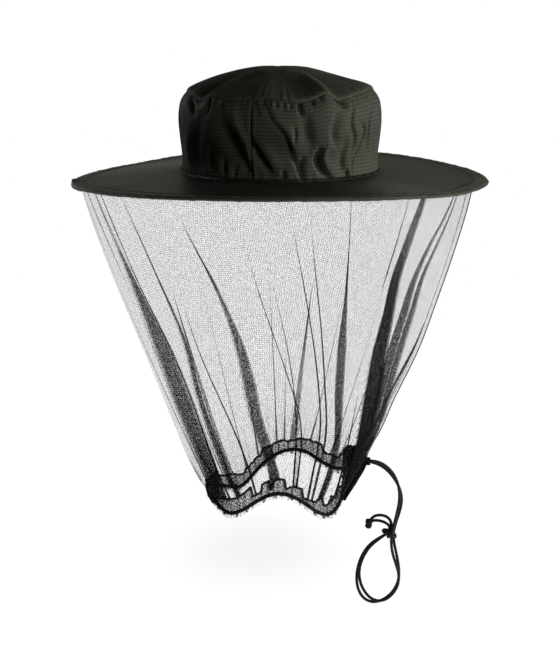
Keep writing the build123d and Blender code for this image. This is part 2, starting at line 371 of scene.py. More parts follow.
def smooth_cloth(name, light, dark, gloss):
    """Close-woven plain cloth: a fine slanted twill, faint slubs and soft wear."""
    s = Shader(name)
    a, b = s.split(s.uv())
    twill = s.wave(s.math("ADD", a, b), 0.0007)
    slub = s.noise(s.uv((260.0, 900.0, 1.0)), 1.0, 3.0)
    patches = s.ramp(s.noise(s.place(), 22.0), 0.3, 0.75)
    colour = s.mix(patches, dark, light)
    colour = s.mix(s.ramp(slub, 0.5, 0.8, 0.0, 0.3), colour, rgb(72, 75, 63))
    relief = s.math("ADD", s.math("MULTIPLY", twill, 0.35), slub)
    return s.finish({
        "Base Color": colour,
        "Roughness": s.ramp(slub, 0.2, 0.8, 0.36, 0.5),
        "Specular IOR Level": gloss,
        "Specular Tint": (0.95, 1.0, 0.84, 1.0),
        "Normal": s.bump(relief, 0.6, 0.0003),
    })


def spring_steel():
    """Bare drawn wire with streaks along it."""
    s = Shader("spring_steel")
    streaks = s.noise(s.uv((40.0, 4000.0, 1.0)), 1.0, 4.0)
    return s.finish({
        "Base Color": s.mix(streaks, rgb(150, 150, 152), rgb(190, 190, 192)),
        "Metallic": 1.0,
        "Roughness": s.ramp(streaks, 0.3, 0.7, 0.25, 0.42),
        "Normal": s.bump(streaks, 0.2, 0.0001),
    })


def net_cloth(name, cover, pitch=0.0021):
    """Black net: round holes on a triangular lattice, closed up where the net is folded, and painted darker
    there as shade in the folds.

    The field "dense" runs from 0, one flat layer, to 1, a fold seen along its edge.
    """
    s = Shader(name)
    a, b = s.split(s.uv())
    waves = []
    for degrees in (-45, 15, 75):
        turn = math.radians(degrees)
        along, across = s.math("MULTIPLY", a, math.cos(turn)), s.math("MULTIPLY", b, math.sin(turn))
        waves.append(s.wave(s.math("ADD", along, across), pitch))
    hole = s.math("ADD", s.math("ADD", waves[0], waves[1]), waves[2])
    thread = s.ramp(hole, -1.5, 0.9, 2.15 * cover, 0.0)
    closeness_and_shade = s.field("closeness_and_shade")
    speck = s.noise(s.vector("MULTIPLY", s.place(), (1.0, 0.45, 1.0)), 600.0, 1.0)
    grain = s.ramp(speck, 0.34, 0.66, 0.48, 1.52)
    folded = s.math("MULTIPLY", closeness_and_shade, s.ramp(speck, 0.3, 0.7, 0.82, 1.18))
    opacity = s.math("ADD", s.math("MULTIPLY", thread, grain), folded, clamp=True)
    return s.finish({
        # painted shade: the threads are painted darker where the net is folded or bunched
        "Base Color": s.mix(closeness_and_shade, rgb(15, 15, 17), rgb(7, 7, 8)),
        "Roughness": 0.8,
        "Specular IOR Level": 0.05,
        "Alpha": opacity,
        "Normal": s.bump(hole, 0.3, 0.0002),
    })


def braided_cord(name, across, along):
    """Black braided cord: two sets of strands that cross, with a slight gloss.

    across and along turn the UV into strands round the cord and metres along it.
    """
    s = Shader(name)
    a, b = s.split(s.uv())
    length = s.math("MULTIPLY", a, along / 0.0022)
    around = s.math("MULTIPLY", b, across)
    one = s.math("COSINE", s.math("MULTIPLY", s.math("ADD", length, around), TAU))
    two = s.math("COSINE", s.math("MULTIPLY", s.math("SUBTRACT", length, around), TAU))
    braid = s.math("MAXIMUM", one, two)
    fibre = s.noise(s.place(), 2500.0, 2.0)
    relief = s.math("ADD", braid, s.math("MULTIPLY", fibre, 0.4))
    return s.finish({
        # painted shade: the grooves between the strands are painted darker than their crests
        "Base Color": s.mix(s.ramp(braid, -0.4, 1.0), rgb(4, 4, 5), rgb(13, 13, 15)),
        "Roughness": s.ramp(fibre, 0.3, 0.7, 0.5, 0.65),
        "Specular IOR Level": 0.2,
        "Normal": s.bump(relief, 0.6, 0.0003),
    })


def stitch_thread():
    """Matt black twisted thread."""
    s = Shader("stitch_thread")
    twist = s.noise(s.place(), 3000.0, 2.0)
    return s.finish({
        "Base Color": s.mix(twist, rgb(10, 10, 11), rgb(20, 20, 21)),
        "Roughness": 0.6,
        "Normal": s.bump(twist, 0.4, 0.0002),
    })


RIPSTOP = ripstop_cloth()
BRIM_CLOTH = smooth_cloth("brim_cloth", rgb(22, 25, 19), rgb(15, 17, 12), 0.18)
WELT_CLOTH = smooth_cloth("welt_cloth", rgb(31, 34, 26), rgb(23, 25, 19), 0.04)
EDGE_CLOTH = smooth_cloth("edge_cloth", rgb(60, 63, 53), rgb(50, 53, 44), 0.1)
LINING = smooth_cloth("lining_tape", rgb(30, 31, 28), rgb(22, 23, 20), 0.1)
STEEL = spring_steel()
NET = net_cloth("veil_net", 0.17)
HEM_NET = net_cloth("hem_net", 0.26)
CORD_CURVE = braided_cord("drawcord_braid", 4.0, 0.33)
CORD_MESH = braided_cord("knot_braid", 4.0 / (TAU * CORD_R), 1.0)
THREAD = stitch_thread()


# ---------------------------------------------------------------- camera, light and floor
def aim(obj, target):
    """Turns a camera or light towards a point."""
    obj.rotation_euler = (Vector(target) - obj.location).to_track_quat("-Z", "Y").to_euler()


def area_light(name, location, size, power):
    """A round soft light of a size in metres and a power in watts, aimed at the origin."""
    data = bpy.data.lights.new(name, "AREA")
    data.shape = "DISK"
    data.size = size
    data.energy = power
    obj = add(name, data)
    obj.location = location
    aim(obj, (0.0, 0.0, 0.0))


def set_camera():
    """A long lens a little above the brim, straight in front."""
    data = bpy.data.cameras.new("camera")
    data.lens = 105.0
    data.sensor_width = 36.0
    camera = add("camera", data)
    camera.location = CAMERA_AT
    aim(camera, LOOK_AT)
    bpy.context.scene.camera = camera


def floor_material():
    """Paper that is bright by itself, with the hat's faint soft shadow painted on it."""
    s = Shader("floor_paper")
    grain = s.noise(s.place(), 60.0, 2.0)
    away = s.vector("SUBTRACT", s.place(), (-0.025, 0.22, FLOOR_Z))
    away = s.vector("MULTIPLY", away, (1.0, 0.66, 1.0))
    reach = s.node("VectorMath", {0: away}, operation="LENGTH").outputs["Value"]
    return s.finish({
        "Base Color": s.mix(grain, (0.04, 0.04, 0.04, 1), (0.05, 0.05, 0.05, 1)),
        "Roughness": 0.9,
        "Specular IOR Level": 0.0,
        "Emission Color": (1, 1, 1, 1),
        "Emission Strength": s.ramp(reach, 0.01, 0.14, 0.885, 0.995),
    })


def studio_world():
    """A white sky for the camera, which lights the hat as a low white wall behind it."""
    world = bpy.data.worlds.new("studio")
    bpy.context.scene.world = world
    s = Shader("studio", world)
    toward = s.node("SeparateXYZ", {0: s.node("TexCoord").outputs["Generated"]})
    behind = s.ramp(toward.outputs[1], 0.7, 0.95)
    low = s.ramp(toward.outputs[2], 0.25, 0.55, 1.0, 0.0)
    wall = s.math("MULTIPLY", behind, low)
    lit = s.ramp(wall, 0.0, 1.0, 0.025, 0.42)
    seen = s.node("LightPath").outputs["Is Camera Ray"]
    strength = s.math("MAXIMUM", seen, lit)
    colour = s.mix(seen, (1.0, 1.02, 0.88, 1), (1, 1, 1, 1))
    sky = s.node("Background", {"Color": colour, "Strength": strength})
    output = s.node("OutputWorld")
    s.tree.links.new(sky.outputs[0], output.inputs[0])


def set_stage():
    """The floor, the sky and three lights: low from the right, in front, and dim behind."""
    turn = np.arange(96) * TAU / 96
    rim = [(FLOOR_R * math.cos(a), FLOOR_R * math.sin(a), FLOOR_Z) for a in turn]
    floor = add_mesh("floor", rim, [list(range(96))])
    floor.data.materials.append(floor_material())
    studio_world()

    area_light("key", (2.42, -0.06, 0.32), 0.4, 74.0)
    area_light("fill", (1.38, -1.95, 0.45), 0.7, 23.0)
    area_light("back", (-1.9, 1.7, 0.8), 0.8, 12.0)

    scene = bpy.context.scene
    scene.view_settings.view_transform = "Standard"
    scene.cycles.transparent_max_bounces = 96
    scene.cycles.max_bounces = 8


set_camera()
set_stage()


# ---------------------------------------------------------------- drawcord
def nurbs_line(name, route, resolution):
    """A smooth NURBS curve along a route in millimetres."""
    data = bpy.data.curves.new(name, "CURVE")
    data.dimensions = "3D"
    spline = data.splines.new("NURBS")
    spline.points.add(len(route) - 1)
    for point, spot in zip(spline.points, route):
        point.co = (*(c * MM for c in spot), 1.0)
    spline.order_u = 3
    spline.use_endpoint_u = True
    data.resolution_u = resolution
    return data


def nurbs_cord(name, route, radius):
    """A cord with a round section along a route in millimetres."""
    data = nurbs_line(name, route, 10)
    data.bevel_depth = radius
    data.bevel_resolution = 5
    data.use_fill_caps = True
    return add(name, data)


def line_of(route):
    """The points along the NURBS line of a route, in metres."""
    data = nurbs_line("line", route, 24)
    obj = bpy.data.objects.new("line", data)
    mesh = bpy.data.meshes.new_from_object(obj)
    points = np.array([v.co for v in mesh.vertices], float)
    bpy.data.objects.remove(obj)
    bpy.data.curves.remove(data)
    bpy.data.meshes.remove(mesh)
    return points


def middle(node):
    """The centre of a CAD node's box."""
    low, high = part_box(node)
    return (Vector(low) + Vector(high)) / 2


def wraps(name, centre, axis, radius, turns, rise, start=0.0):
    """Cord wound round an axis: the body of a knot."""
    axis = Vector(axis).normalized()
    side = axis.orthogonal().normalized()
    other = axis.cross(side)
    steps = int(26 * turns)
    line = []
    for i in range(steps + 1):
        t = i / steps
        turn = start + TAU * turns * t
        out = radius * (0.86 + 0.14 * math.sin(math.pi * t))
        lift = (t - 0.5) * rise
        spot = Vector(centre) + axis * lift
        spot += side * (out * math.cos(turn)) + other * (out * math.sin(turn))
        line.append(spot)
    taper = [CORD_R * min(1.0, 0.35 + 6 * min(i, steps - i) / steps) for i in range(steps + 1)]
    return tube(name, line, taper, sides=10)


def loop_knot():
    """Where both strands are tied together: wraps round them, and one turn across."""
    c = middle("drawcord_loop_knot")
    parts = [
        tube("knot_core", [c + Vector((-0.0052, -0.0008, 0.0026)), c, c + Vector((0.0052, 0.0008, -0.0026))],
             [0.0022, 0.0042, 0.0022]),
        wraps("wrap_low", c + Vector((0.0012, 0, -0.0016)), (0.42, 0.1, 1), 0.0050, 1.6, 0.0028),
        wraps("wrap_high", c + Vector((0.0002, 0, 0.0016)), (0.36, 0.15, 1), 0.0046, 1.4, 0.0026, start=2.0),
        wraps("wrap_across", c, (1.0, 0.3, -0.3), 0.0040, 1.2, 0.0036, start=1.0),
        wraps("wrap_lug", c + Vector((-0.0052, -0.0012, 0.0028)), (0.4, 1, 0.2), 0.0016, 1.1, 0.001),
        wraps("wrap_end", c + Vector((0.0054, 0.0008, -0.0030)), (1, 0.3, -0.5), 0.0014, 1.1, 0.002),
    ]
    return joined("loop_knot", parts)


def end_knot():
    """The overhand knot at the end of the strands, with the two cut ends below it."""
    c = middle("drawcord_end_knot")
    parts = [
        tube("end_core", [c + Vector((0.0003, 0, 0.0046)), c, c - Vector((0.0003, 0, 0.0046))],
             [0.0024, 0.0034, 0.0024]),
        wraps("end_wrap", c + Vector((0.0002, 0, 0.0024)), (0.2, 0.1, 1), 0.0024, 1.6, 0.0022),
        wraps("end_low", c + Vector((-0.0003, 0, -0.0022)), (-0.25, 0.2, 1), 0.0023, 1.5, 0.0022, start=2.2),
        wraps("end_cross", c + Vector((0, 0, 0.0002)), (1, 0.4, 0.4), 0.0022, 1.2, 0.002, start=0.7),
    ]
    return joined("end_knot", parts)


loop_tie = place(loop_knot(), CORD_MESH, "drawcord", "neck_cord", ["drawcord_loop_knot"])
end_tie = place(end_knot(), CORD_MESH, "drawcord", "neck_cord", ["drawcord_end_knot"])
for strand, route, length in (("a", STRAND_A, 0.309), ("b", STRAND_B, 0.306)):
    x, y, z = route[0]
    hidden = [(x + along, y, z) for along in (-TAIL, -TAIL / 2, 1)]
    tail = nurbs_cord(f"drawcord_tail_{strand}", hidden, CORD_R)
    place(tail, CORD_CURVE, "drawcord", "neck_cord")
    cord = nurbs_cord(f"drawcord_{strand}", route, CORD_R)
    place(cord, CORD_CURVE, "drawcord", "neck_cord", [f"drawcord_strand_{strand}"])


# ---------------------------------------------------------------- brim
# how far the brim's edge hangs below its root: (degrees from the right, millimetres)
DROOP = [
    (0, 8.2), (12, 7.8), (20, 7.4), (30, 6.4), (40, 4.7), (50, 3.0), (58, 1.9), (75, 1.2), (90, 1.6),
    (105, 3.0), (115, 4.2), (123, 5.4), (130, 7.2), (138, 9.2), (146, 10.4), (156, 11.2), (166, 11.5),
    (176, 11.2), (185, 11.2), (195, 9.9), (205, 8.0), (216, 6.6), (228, 4.5), (240, 3.6), (255, 2.2),
    (270, 1.6), (285, 2.2), (300, 4.0), (312, 5.6), (322, 6.9), (332, 7.3), (342, 7.6), (360, 8.2),
]


def brim_z(radius, azimuth):
    """The height of the brim's cloth, which slopes evenly from the crown down to its edge."""
    droop = curve(DROOP, np.degrees(azimuth) % 360) * MM
    return -droop * (radius - CROWN_R) / (BRIM_R - CROWN_R)


def ring_grid(name, profile, columns, shift, wrap_profile=False):
    """A ring round the hat from a profile of (radius, height over the brim's slope) points.

    shift(azimuth, radius) gives the small hand-made unevenness to add to the height.
    """
    profile = np.array(profile, float)
    if wrap_profile:
        profile = np.concatenate([profile, profile[:1]])
    azimuth = np.linspace(0, TAU, columns, endpoint=False)
    radius = np.repeat(profile[:, :1], columns, axis=1)
    angle = np.repeat(azimuth[None, :], len(profile), axis=0)
    z = brim_z(radius, angle) + profile[:, 1:2] + shift(angle, radius)
    steps = np.linalg.norm(np.diff(profile, axis=0), axis=1)
    along = np.concatenate([[0], np.cumsum(steps)])
    uv = np.zeros((len(profile), columns + 1, 2))
    uv[..., 0] = np.linspace(0, TAU, columns + 1) * 0.15
    uv[..., 1] = along[:, None]
    return grid_mesh(name, polar(radius, angle, z), uv, wrap=True)


def brim_shift(angle, radius):
    """Slow waves of the cloth, small puckers at the edge's stitching and at the crown."""
    slow = 0.0009 * ripple(angle, [3, 5, 8, 11], 4) * ease(0.11, 0.19, radius)
    edge = 0.00035 * ripple(angle, [61, 89, 113, 149], 5) * ease(0.165, 0.186, radius)
    root = 0.0004 * ripple(angle, [37, 53, 71], 6) * (1 - ease(0.098, 0.118, radius))
    nip = 0.0028 * np.exp(-((np.degrees(angle % TAU) - 181.5) / 2.0) ** 2) * ease(0.193, 0.2025, radius)
    return slow + edge + root + nip


def edge_shift(angle, radius):
    """The brim's unevenness, with the small tucks of the sewn edge."""
    tuck = 0.00022 * ripple(angle, [67, 97, 131, 173], 8)
    roll = 0.00018 * ripple(angle, [23, 31, 47], 9)
    return brim_shift(angle, radius) + tuck * (1 - ease(0.188, 0.197, radius)) + roll


def brim_cloths():
    """The upper and the lower cloth, which the wire stretches."""
    outer = EDGE_IN_R + 0.0012  # a little inside the rolled edge
    top = [(CROWN_R - 0.001, 0.0008), (CROWN_R + 0.001, 0.0009)]
    top += [(r, 0.0) for r in np.linspace(CROWN_R + 0.0035, outer, 46)]
    low = [(r, -0.0016) for r in np.linspace(CROWN_R - 0.0005, outer, 24)]
    cloths = (("brim_top_cloth", top, "brim_top_panel"), ("brim_under_cloth", low, "brim_under_panel"))
    for name, profile, node in cloths:
        cloth = ring_grid(name, profile, 720, brim_shift)
        thicken(cloth, CLOTH_T)
        place(cloth, BRIM_CLOTH, "hat", "hat_cloth", [node])


def brim_edge():
    """The rolled channel of cloth round the brim: (radius from the rim, height) points."""
    inner = EDGE_IN_R - BRIM_R
    section = [
        (inner, 0.0004), (inner + 0.0012, 0.0010), (inner + 0.003, 0.0012), (-0.009, 0.0014),
        (-0.0055, 0.0018), (-0.0028, 0.0017), (-0.0009, 0.0010), (-0.0001, 0.0),
        (-0.0007, -0.0012), (-0.0026, -0.0021), (-0.0055, -0.0024), (-0.009, -0.0020),
        (inner + 0.003, -0.0017), (inner + 0.0012, -0.0016), (inner, -0.0014),
    ]
    section = [(BRIM_R + r, z) for r, z in section]
    edge = ring_grid("brim_edge_roll", section, 900, edge_shift, wrap_profile=True)
    place(edge, EDGE_CLOTH, "hat", "edge_cloth", ["brim_edge_channel"])


def edge_wire():
    """The spring wire inside the rolled edge, and the ferrule that closes it at the back."""
    def line(azimuth):
        return polar(WIRE_RING_R, azimuth, brim_z(WIRE_RING_R, azimuth) - 0.0002)

    round_brim = np.linspace(0, TAU, 400, endpoint=False)
    wire = tube("edge_wire", line(round_brim), 0.001, closed=True)
    place(wire, STEEL, "hat", "spring_steel", ["brim_spring_wire"])
    back = math.pi / 2 + np.linspace(-0.03, 0.03, 13)
    width = [0.0012] + [0.0017] * 11 + [0.0012]
    ferrule = tube("edge_wire_ferrule", line(back), width, sides=14)
    place(ferrule, STEEL, "hat", "spring_steel", ["wire_ferrule"])


def net_tape():
    """The tape under the brim that the net is sewn to."""
    section = [(0.1905, -0.0014), (0.1955, -0.0016), (0.1955, -0.0026), (0.1905, -0.0025)]
    band = ring_grid("net_tape", section, 720, edge_shift, wrap_profile=True)
    place(band, LINING, "hat", "lining_tape", ["veil_top_tape"])


def stitches(name, radius, height, count):
    """A row of sewn stitches on the brim: short raised threads with gaps between."""
    threads = []
    lift = height + 0.0001 * np.array([-1.2, 0.6, 0.6, -1.2])
    r = np.full(4, radius)
    for i in range(count):
        a = TAU * i / count + np.linspace(-0.5, 0.5, 4) * STITCH / radius
        threads.append(tube_points(polar(r, a, brim_z(r, a) + lift + brim_shift(a, r)), 0.00022, 5))
    row = many_tubes(name, threads)
    row.data.shade_smooth()
    place(row, THREAD, "hat", "lining_tape")


brim_cloths()
brim_edge()
edge_wire()
net_tape()
stitches("edge_stitches", EDGE_IN_R + 0.0016, 0.0016, 460)
stitches("root_stitches", CROWN_R + 0.0072, 0.0001, 250)


# ---------------------------------------------------------------- crown
# Creases of the crown: a path of (degrees round from the front, millimetres up), the
# height in millimetres (below zero is a valley), and the width of its left and right flank.
CREASES = [
    ([(-27, 72), (-25, 58), (-21, 44), (-17.5, 30), (-15.5, 20)], 3.2, 13, 3.5),
    ([(-33, 62), (-29, 46), (-24, 30), (-21, 12)], -3.4, 9, 8),
    ([(-15.5, 34), (-11, 21), (-5.5, 8)], -3.6, 3.0, 4.5),
    ([(-12.5, 38), (-8, 26), (-2.5, 12)], 1.9, 3.2, 9),
    ([(-19, 18), (-17.5, 8)], -2.2, 5, 3),
    ([(-9, 74), (-4.5, 58), (1.5, 46), (4.0, 34), (8, 20), (10.5, 12)], -1.5, 2.2, 2.6),
    ([(-6, 72), (-1.5, 57), (4.5, 46), (7.5, 34), (11.0, 20)], 1.1, 3.0, 7),
    ([(4.2, 39), (5.2, 33), (6.2, 27)], -1.9, 2.4, 1.6),
    ([(8, 52), (8.5, 46), (8.3, 38)], -1.3, 2.0, 1.6),
    ([(2.2, 10), (2.0, 5), (1.9, 1)], -2.6, 2.0, 2.0),
    ([(12.5, 21), (11.5, 13), (12, 3)], -2.0, 3.4, 3.0),
    ([(23, 29), (21.6, 21), (24.0, 11), (30.5, 1)], -3.6, 3.4, 2.4),
    ([(26, 30), (25.0, 21), (28.0, 12)], 1.5, 2.0, 5),
    ([(39, 34), (37, 22), (38, 11), (42, 3)], -2.1, 5.5, 4.0),
    ([(42, 8), (42.5, 3)], -2.4, 1.8, 1.6),
    ([(50, 53), (54, 44), (50.5, 30), (46, 18), (45, 6)], -1.1, 2.0, 1.5),
    ([(65, 66), (60, 50), (59.5, 36), (60, 24)], -1.7, 2.8, 2.0),
    ([(74, 62), (78, 48), (79, 30)], -1.2, 3.0, 2.4),
    ([(14, 62), (15, 48), (17, 34)], -1.8, 7, 5),
    ([(-46, 66), (-52, 48), (-55, 28), (-52, 8)], -1.6, 8, 8),
    ([(-42, 30), (-44, 18), (-41, 6)], -1.5, 5, 5),
    ([(-62, 40), (-65, 22), (-62, 8)], 1.4, 8, 8),
    ([(-78, 58), (-80, 40), (-77, 22)], -1.5, 7, 7),
    ([(-33, 20), (-34, 12), (-33, 4)], -1.5, 3, 3),
    ([(-26, 14), (-27, 8), (-27, 2)], -1.4, 2.6, 2.6),
    ([(33, 60), (30, 46), (32, 34)], -1.6, 3.0, 5.0),
    ([(45, 66), (43, 52), (46, 38), (44, 26)], -1.7, 3.4, 2.2),
    ([(57, 58), (55, 48), (57, 38)], 1.0, 3.0, 2.0),
    ([(70, 40), (68, 28), (70, 14)], -1.3, 2.6, 2.6),
    # puckers just under the top seam
    ([(-68, 74), (-62, 69), (-56, 63)], -2.8, 3.2, 3.0),
    ([(-46, 76), (-45, 70), (-44, 62)], -2.2, 3.0, 2.6),
    ([(-36, 75), (-35, 70)], -1.8, 3.0, 2.4),
    ([(-15, 76), (-14, 70), (-12, 62)], -1.5, 2.2, 2.0),
    ([(-10, 75), (-9.2, 71)], -1.5, 1.8, 1.6),
    ([(-6, 74.5), (-5.6, 71)], -1.2, 1.5, 1.4),
    ([(-2, 74.5), (-1.8, 71)], -1.5, 1.6, 1.5),
    ([(2, 74), (2.2, 70.5)], -1.2, 1.5, 1.4),
    ([(6, 74), (6.1, 71)], -1.5, 1.6, 1.5),
    ([(11, 75), (11.4, 70), (12, 65)], -3.2, 2.2, 2.0),
    ([(18.5, 76), (19, 71)], -1.8, 1.8, 1.6),
    ([(23.5, 77), (24.5, 72)], -1.6, 1.8, 1.6),
    ([(33, 78), (37, 73), (41, 69)], -3.4, 2.6, 2.4),
    ([(46, 77), (50, 70), (57, 62)], -1.2, 2.6, 2.2),
    ([(60, 79), (66, 68), (67, 55)], -1.3, 3.0, 2.4),
]
FOLD_DEPTH = 1.45  # how much deeper than the table every crease is
DEGREE_MM = math.radians(1) * CROWN_R / MM  # one degree round the crown's side
# the top seam's rise over its level ring: (degrees round from the front, millimetres)
SEAM_RISE = [
    (-180, 0.5), (-165, -1.5), (-150, 1.2), (-135, -1.0), (-120, 1.5), (-105, -0.6), (-92, 1.2),
    (-81, 0.9), (-66, -0.2), (-54, -4.0), (-46, 1.4), (-32, -1.7), (-24, -0.6), (-17.6, 0.4),
    (-10, 0.5), (-2, -1.2), (11.5, -2.1), (19, 0.2), (28.5, 5.2), (37.5, -1.0), (44, 0.6),
    (51, 2.2), (62, 4.2), (72, 5.4), (85, 3.6), (97, 1.0), (110, 2.0), (124, -1.0), (138, 1.4),
    (152, -0.8), (166, 1.2), (180, 0.5),
]
CROWN_PROFILE = [(-1.5, 95.0), (4, 95.2), (12, 94.6), (20, 95.2), (35, 97.0), (50, 98.2), (60, 97.6),
                 (68, 95.6), (74, 91.6), (77, 88.6)]


def back_creases():
    """Softer creases on the unseen side, spread unevenly."""
    rng = random.Random(12)
    made = []
    for k in range(15):
        at = 98 + k * 12.0 + rng.uniform(-4, 4)
        top, foot = rng.uniform(36, 70), rng.uniform(2, 16)
        lean = rng.uniform(-9, 9)
        path = [(at, top), (at + lean * 0.6, (top + foot) / 2), (at + lean, foot)]
        made.append((path, rng.choice([-2.4, -1.8, -1.4, 1.6]), rng.uniform(3, 7), rng.uniform(3, 7)))
    for k in range(17):
        at = 94 + k * 10.5 + rng.uniform(-3, 3)
        path = [(at, 76), (at + rng.uniform(-2, 2), rng.uniform(66, 71))]
        made.append((path, -rng.uniform(1.2, 2.8), 2.4, 2.2))
    return made


def crease_relief(front_degrees, height_mm):
    """The cloth's relief in millimetres at each place, from all the creases."""
    across = front_degrees * DEGREE_MM
    relief = np.zeros_like(across)
    whole_turn = 360 * DEGREE_MM
    for path, rise, left, right in CREASES + back_creases():
        spots = np.array(path, float)
        spots[:, 0] *= DEGREE_MM
        share = np.linspace(0, 1, len(spots))
        fine = np.linspace(0, 1, 8 * len(spots))
        sx, sz = (curve(np.stack([share, spots[:, i]], -1), fine) for i in (0, 1))
        dx = across - sx.mean()
        dx = (dx + whole_turn / 2) % whole_turn - whole_turn / 2 + sx.mean()
        best = np.full(across.shape, 1e9)
        side = np.zeros_like(across)
        taper = np.zeros_like(across)
        for i in range(len(fine) - 1):
            ax, az, bx, bz = sx[i], sz[i], sx[i + 1], sz[i + 1]
            length2 = (bx - ax) ** 2 + (bz - az) ** 2
            t = np.clip(((dx - ax) * (bx - ax) + (height_mm - az) * (bz - az)) / length2, 0, 1)
            px, pz = dx - ax - t * (bx - ax), height_mm - az - t * (bz - az)
            near = px**2 + pz**2
            closer = near < best
            best = np.where(closer, near, best)
            side = np.where(closer, (bx - ax) * pz - (bz - az) * px, side)
            taper = np.where(closer, fine[i] + t * (fine[i + 1] - fine[i]), taper)
        width = np.where(side > 0, right, left)
        fade = np.sin(math.pi * np.clip(0.12 + 0.80 * taper, 0, 1)) ** 0.7
        relief += FOLD_DEPTH * rise * fade * np.exp(-best / width**2)
    return relief


def seam_rise(front_degrees):
    """How far the top seam rises over its level ring."""
    return curve(SEAM_RISE, half_turn(front_degrees)) * MM


def crown_panel(name, start, end, node):
    """Half of the crown's side, from seam to seam, with its edges turned in."""
    azimuth = np.radians(np.linspace(start, end, 460))
    turn, up = np.meshgrid(np.degrees(azimuth) + 90, np.linspace(0, 1, 90))
    height = -1.5 + 78.5 * up
    radius = curve(CROWN_PROFILE, height)
    relief = crease_relief(turn, height)
    hold = ease(-1.5, 5, height) * (1 - 0.75 * ease(74.5, 77, height))
    slow = 0.9 * ripple(np.radians(turn), [3, 5, 7, 9], 21) * np.sin(math.pi * np.clip(up, 0, 1))
    gathered = 0.5 * ripple(np.radians(turn), [67, 83, 101, 127], 22) * ease(66, 76, height)
    foot = 0.35 * ripple(np.radians(turn), [59, 73, 97], 23) * (1 - ease(2, 14, height))
    radius = radius + relief * hold + slow + (gathered + foot)
    edge = np.minimum(np.abs(turn - turn[:, :1]), np.abs(turn - turn[:, -1:])) * DEGREE_MM
    radius = radius - 1.7 * np.exp(-((edge / 0.9) ** 2)) + 0.5 * np.exp(-(((edge - 3.0) / 1.6) ** 2))
    z = height * MM + seam_rise(turn) * ease(0.45, 1.0, up)
    angle = np.radians(turn - 90)
    uv = np.stack([angle * CROWN_R, height * MM], -1)
    obj = grid_mesh(name, polar(radius * MM, angle, z), uv)
    thicken(obj, CLOTH_T)
    place(obj, RIPSTOP, "hat", "hat_cloth", [node])


def crown_tip():
    """The round top panel: a low dome that sags between soft ridges."""
    rings, columns = 70, 720
    share = np.concatenate([np.linspace(0.004, 0.97, rings), [0.985, 1.0, 1.006, 1.0]])
    azimuth = np.linspace(0, TAU, columns, endpoint=False)
    angle, s = np.meshgrid(azimuth, share)
    front = np.degrees(angle) + 90
    radius = SEAM_R * s
    x, y = radius * np.cos(angle), radius * np.sin(angle)
    z = SEAM_Z + 0.001 + DOME_RISE * (1 - np.clip(s, 0, 1) ** 2.2)
    z = z + seam_rise(front) * ease(0.35, 1.0, s)
    folds = 0.0016 * ripple(angle, [3, 4, 7], 31) * np.sin(math.pi * np.clip(s, 0, 1)) ** 1.2
    puckers = 0.0005 * ripple(angle, [41, 53, 67, 89], 32) * ease(0.72, 0.97, s)
    dent = -0.0022 * np.exp(-(((x + 0.030) / 0.016) ** 2 + ((y + 0.045) / 0.012) ** 2))
    slack = -0.0022 * np.exp(-(((x - 0.056) / 0.022) ** 2 + ((y + 0.01) / 0.06) ** 2))
    z = z + folds + puckers + dent + slack
    z[-3] -= 0.0006
    z[-2] -= 0.0016
    z[-1] -= 0.0036
    points = np.stack([x, y, z], -1)
    uv_angle = np.concatenate([azimuth, [TAU]])
    uv_radius = SEAM_R * share
    uv = np.stack([
        uv_radius[:, None] * np.cos(uv_angle)[None, :],
        uv_radius[:, None] * np.sin(uv_angle)[None, :],
    ], -1)
    obj = grid_mesh("crown_top_cloth", points, uv, wrap=True)
    thicken(obj, CLOTH_T)
    place(obj, RIPSTOP, "hat", "hat_cloth", ["crown_tip"])


def base_welt():
    """The piping between crown and brim: a soft roll with a seam line outside it."""
    section = [(0.0948, 0.0002), (0.0950, 0.0022), (0.0962, 0.0032), (0.0976, 0.0030), (0.0986, 0.0018),
               (0.0992, 0.0004), (0.0985, -0.0008), (0.0950, -0.0008)]

    def shift(angle, radius):
        return brim_shift(angle, radius) + 0.0004 * ripple(angle, [29, 43, 61, 83], 41)

    welt = ring_grid("crown_base_welt", section, 720, shift, wrap_profile=True)
    place(welt, WELT_CLOTH, "hat", "edge_cloth", ["crown_base_piping"])


def sweatband():
    """The band inside the crown's foot, pressed in where the crown's creases are deep."""
    rows, columns = 14, 720
    low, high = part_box("sweatband")
    heights = np.linspace(low.z, high.z, rows) / MM
    turn, height = np.meshgrid(np.linspace(0, 360, columns, endpoint=False), heights)
    inner = curve(CROWN_PROFILE, height) + crease_relief(turn, height) - 2.2  # clear of the cloth
    radius = np.minimum(inner, high.x / MM - 0.2) * MM
    angle = np.radians(turn - 90)
    uv_turn, uv_up = np.meshgrid(np.linspace(0, TAU * 0.092, columns + 1), heights * MM)
    points = polar(radius, angle, height * MM)
    band = grid_mesh("crown_sweatband", points, np.stack([uv_turn, uv_up], -1), wrap=True)
    thicken(band, 0.0009)
    place(band, LINING, "hat", "lining_tape", ["sweatband"])


crown_panel("crown_right_cloth", SEAM_AZIMUTH, SEAM_AZIMUTH + 180, "crown_side_right")
crown_panel("crown_left_cloth", SEAM_AZIMUTH + 180, SEAM_AZIMUTH + 360, "crown_side_left")
crown_tip()
base_welt()
sweatband()
seam_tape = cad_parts["crown_seam_tape"]  # kept as it is in the CAD model
seam_tape.data.materials.clear()
seam_tape.data.materials.append(LINING)


# ---------------------------------------------------------------- net
hem_line = line_of(HEM_ROUTE)
ring = hem_line[np.hypot(hem_line[:, 0], hem_line[:, 1]) < EXIT_R]
ring_azimuth = np.degrees(np.unwrap(np.arctan2(ring[:, 1], ring[:, 0])))
order = np.argsort(ring_azimuth)
RING_A = ring_azimuth[order]
RING_R = np.hypot(ring[:, 0], ring[:, 1])[order]
RING_Z = ring[:, 2][order]


def gathers(azimuth):
    """The small ruffles that the net and its channel share where they are gathered."""
    return ripple(azimuth, [64, 83, 101, 127], 52)


